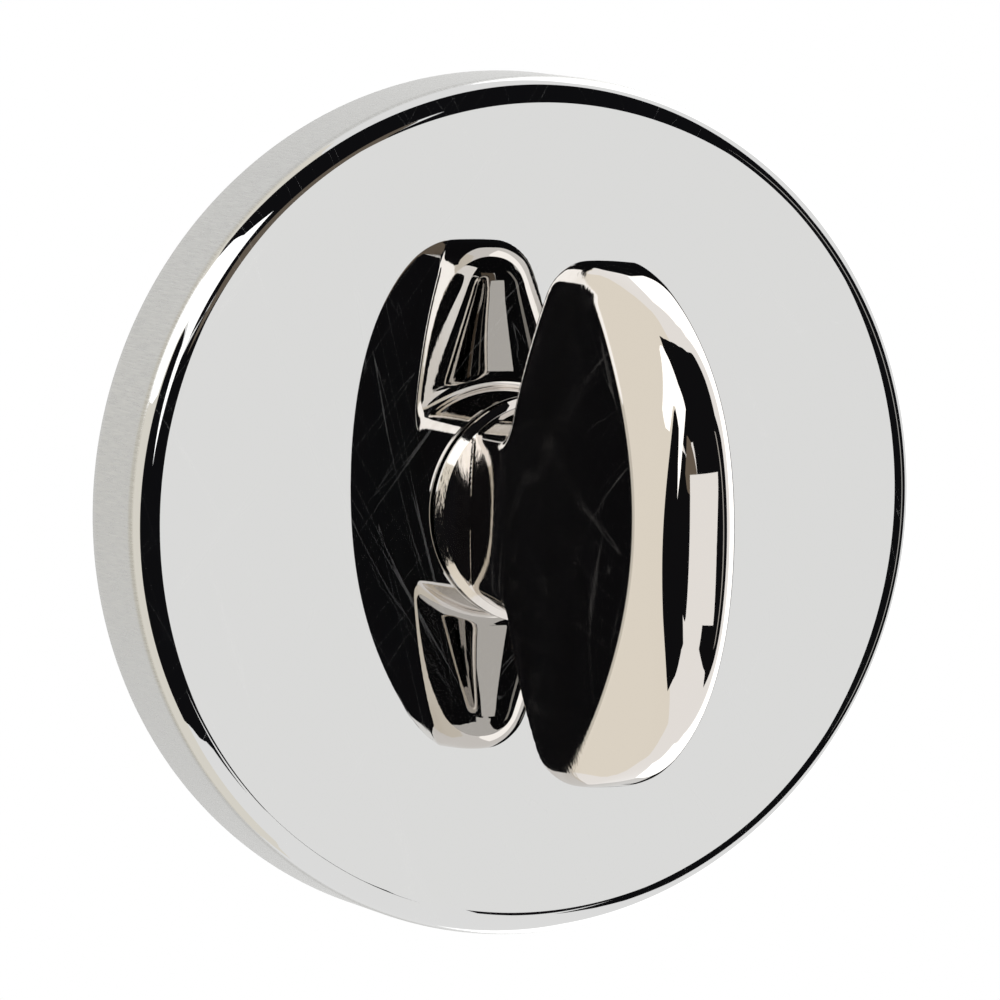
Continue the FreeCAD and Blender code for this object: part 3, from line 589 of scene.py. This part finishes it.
def roundedEither(first, second, radius):
    # The part inside either, as a distance, with a hollow fillet where they meet
    return -roundedBoth(-first, -second, radius)


def endInset(along, reach, length, amount):
    # How far the outline is drawn in near the end: an ellipse quarter of the given length and amount
    share = np.clip((along - (reach - length)) / length, 0, 0.9998)
    return amount * (1 - np.sqrt(1 - share ** 2))


def knobDistance(x, h, z):
    # Below nought inside the turn. The section is a crown arc met by two flank arcs in rounded corners, over
    # a slightly crowned back. The neck is a round column that the flanks trim, on a foot with a bevelled
    # edge.
    x, away = np.abs(x), np.abs(z)
    u = (z / knob["scale"]) ** 2
    reach, least = knob["halfLength"], knob["least"]
    front = powers(knob["front"], [-drop for drop in knob["frontDrop"]], u)
    front = front - endInset(away, reach, *knob["frontRound"])
    half = powers(knob["half"], [-drop for drop in knob["halfDrop"]], u)
    half = np.maximum(half - endInset(away, reach, *knob["endRound"]), least)
    back = powers(knob["back"], knob["backRise"], u) + endInset(away, reach, *knob["backRound"])
    crown, flank = knob["crown"] + knob["crownChange"] * u, knob["flank"] + knob["flankChange"] * u
    corner = np.maximum(powers(knob["corner"], knob["cornerChange"], u), least)
    lean = np.radians(powers(knob["lean"], knob["leanChange"], u))
    top = np.hypot(x, h - (front - crown)) - crown
    shoulder, ease = back + knob["shoulder"], knob["ease"]
    side = np.hypot(x - (half - flank * np.sin(lean)), h - (shoulder - flank * np.cos(lean))) - flank
    # Below the shoulder the flank soon stands upright, and then leans in a little towards the foot
    under, deep = np.clip(shoulder - h, 0, ease), np.maximum(shoulder - ease - h, 0)
    wall = half + (under - under ** 2 / (2 * ease)) / np.tan(lean) - neck["tuck"] * deep ** 2 / (deep + 1)
    side = np.where(h < shoulder, x - wall, side)
    dome = roundedBoth(top, side, corner)
    share = np.minimum(x / half, 1) ** 2
    back = back - (knob["backCrown"] + knob["crownGrowth"] * u) * (1 - (share + share ** 2) / 2)
    radius, low = np.hypot(x, z), neck["gap"]
    column = np.maximum(radius - neck["column"] - neck["widening"] * (h - low), low - h)
    body = roundedBoth(dome, roundedEither(back - h, column, neck["flare"]), knob["backEdge"])
    body = np.maximum(body, away - reach)
    edgeTop, bevel = low + neck["edge"], neck["bevel"]
    foot = roundedBoth(radius - neck["base"] + np.maximum(h - edgeTop, 0), low - h, neck["rounding"])
    foot = np.maximum(foot, h - edgeTop - bevel - (neck["base"] - bevel - radius) * neck["ledge"])
    return roundedEither(body, foot, neck["blend"])


def makeKnobSkin():
    # Rays leave the axis in every direction round it: down to the neck from one centre, and below that level
    # ones from the axis beside each row, close together at the foot's ledge, bevel and edge. Each is followed
    # to the surface by halving.
    turn = np.linspace(0, 2 * np.pi, knob["columns"], endpoint=False)
    around = turn + knob["gather"] * np.sin(2 * turn)
    tilt = np.radians(np.linspace(0, knob["lastAngle"], knob["rows"])[1:])
    gap, edge, bevel, rounding = neck["gap"], neck["edge"], neck["bevel"], neck["rounding"]
    top = gap + edge + bevel
    column, ledge = np.linspace(neck["rowsFrom"], top + 0.42, 9), np.linspace(top + 0.4, top, 23)
    edges = [top - 0.02, top - bevel / 2, gap + edge + 0.02, gap + edge, gap + rounding + 0.05]
    corner = gap + rounding * (1 - np.sin(np.radians([0, 30, 60, 89])))
    low = np.concatenate([column, ledge, edges, corner])
    origin = np.concatenate([np.full(len(tilt), knob["centre"]), low])[:, None]
    rise = np.concatenate([np.cos(tilt), np.zeros(len(low))])[:, None]
    out = np.concatenate([np.sin(tilt), np.ones(len(low))])[:, None]
    cosine, sine = out * np.cos(around), out * np.sin(around)
    inner, outer = np.zeros(cosine.shape), np.full(cosine.shape, knob["reach"])
    for _ in range(knob["halvings"]):
        middle = (inner + outer) / 2
        inside = knobDistance(middle * cosine, origin + middle * rise, middle * sine) < 0
        inner, outer = np.where(inside, middle, inner), np.where(inside, outer, middle)
    grid = np.stack([inner * cosine, knob["face"] - origin - inner * rise, inner * sine], -1)
    crown = [0, knob["face"] - knob["front"], 0]
    foot = [0, knob["face"] - gap, 0]
    points = np.concatenate([[crown], grid.reshape(-1, 3), [foot]])
    rows, columns = len(origin), knob["columns"]
    last = 1 + (rows - 1) * columns
    quads = gridFaces(rows, columns, start=1)
    fans = np.concatenate([fanFaces(0, 1, columns)[:, ::-1], fanFaces(len(points) - 1, last, columns)])
    return points, quads, fans


shank = {"radius": 5.0, "start": -12.0, "end": 2.2, "chamfer": 0.4, "flat": 4.3, "flatFrom": -1.85,
         "grooveFrom": -0.05, "grooveTo": 1.05, "grooveRadius": 4.8, "bore": 2.55, "boreDepth": -11.05,
         "columns": 256}


def makeShankSkin(start):
    # Rings along the axis, round and then cut by the two flats, over the end into the square bore to its floor.
    # Each row has its radius, its depth and its kind: 0 round, 1 cut by the flats, 2 square as the bore.
    first, end, chamfer = shank["start"], shank["end"], shank["chamfer"]
    wide, narrow = shank["radius"], shank["grooveRadius"]
    rows = [(0.0, first, 0), (wide, first, 0), (wide, shank["flatFrom"], 0), (wide, shank["flatFrom"], 1),
            (wide, shank["grooveFrom"], 1), (narrow, shank["grooveFrom"], 1), (narrow, shank["grooveTo"], 1),
            (wide, shank["grooveTo"], 1), (wide, end - chamfer, 1), (wide - chamfer, end, 1), (0.0, end, 2),
            (0.0, shank["boreDepth"], 2), (0.0, shank["boreDepth"], 0)]
    angle = np.linspace(0, 2 * np.pi, shank["columns"], endpoint=False)
    cosine, sine = np.abs(np.cos(angle)), np.abs(np.sin(angle))
    square = shank["bore"] / np.maximum(cosine, sine)
    flat = shank["flat"] / np.maximum(cosine, 1e-6)
    rings = []
    for radius, depth, kind in rows:
        reach = square if kind == 2 else np.minimum(radius, flat) if kind else np.full(len(angle), radius)
        rings.append(np.stack([reach * np.cos(angle), np.full(len(angle), depth), reach * np.sin(angle)], -1))
    return np.concatenate(rings), gridFaces(len(rows), len(angle), start=start)


def makeKnob():
    skin, quads, fans = makeKnobSkin()
    stem, stemFaces = makeShankSkin(len(skin))
    piece = addMesh("turnSkin", np.concatenate([skin, stem]), quads, fans, stemFaces)
    piece.data.set_sharp_from_angle(angle=np.radians(knob["sharpFrom"]))
    dress(piece, makeTurnNickel())
    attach(piece, "turn")
    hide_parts("thumb_turn")
    print("turn has", len(quads) * 2 + len(fans) + len(stemFaces) * 2, "triangles")


makeKnob()
print("thumb turn made")
